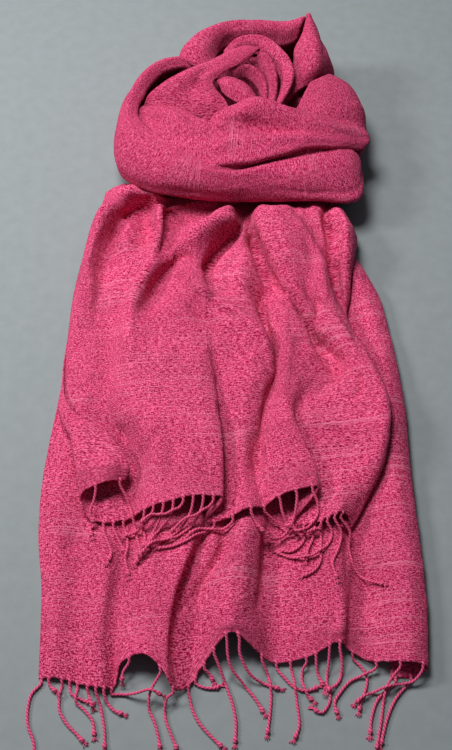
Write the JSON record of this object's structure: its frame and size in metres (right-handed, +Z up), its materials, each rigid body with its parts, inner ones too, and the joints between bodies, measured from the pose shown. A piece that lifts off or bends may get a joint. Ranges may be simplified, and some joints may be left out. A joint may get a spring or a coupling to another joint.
{
  "type": "handwoven scarf",
  "caption": "Handwoven rose-coloured scarf laid out, doubled and wound into a loop, with both twisted-fringe ends lying in front.",
  "frame": {"origin": "middle of the scarf's footprint, on the surface it lies on", "axes": "+X to the right across the width, +Y from the fringed ends towards the wound loop, +Z up"},
  "size_m": [0.4639, 1.0372, 0.1121],
  "materials": {
    "cloth": "hand-loomed cotton and wool in rose pink, nubby open plain weave with thick and thin yarns, matt",
    "fringe": "the same yarn twisted in two plies and knotted at the end, matt"
  },
  "bodies": {
    "root": {"long_end": "cloth", "short_end": "cloth", "front_collar": "cloth", "back_loop": "cloth", "right_band": "cloth", "right_shoulder": "cloth", "upper_drape": "cloth", "diagonal_band": "cloth", "rosette_outer": "cloth", "rosette_middle": "cloth", "rosette_inner": "cloth", "rosette_tongue": "cloth", "hidden_layers": "cloth", "long_fringe_under": "fringe", "long_fringe_middle": "fringe", "long_fringe_left": "fringe", "short_fringe_lip": "fringe", "short_fringe_right": "fringe", "short_fringe_middle": "fringe", "short_fringe_corner": "fringe", "short_fringe_lobe": "fringe"}
  },
  "joints": []
}
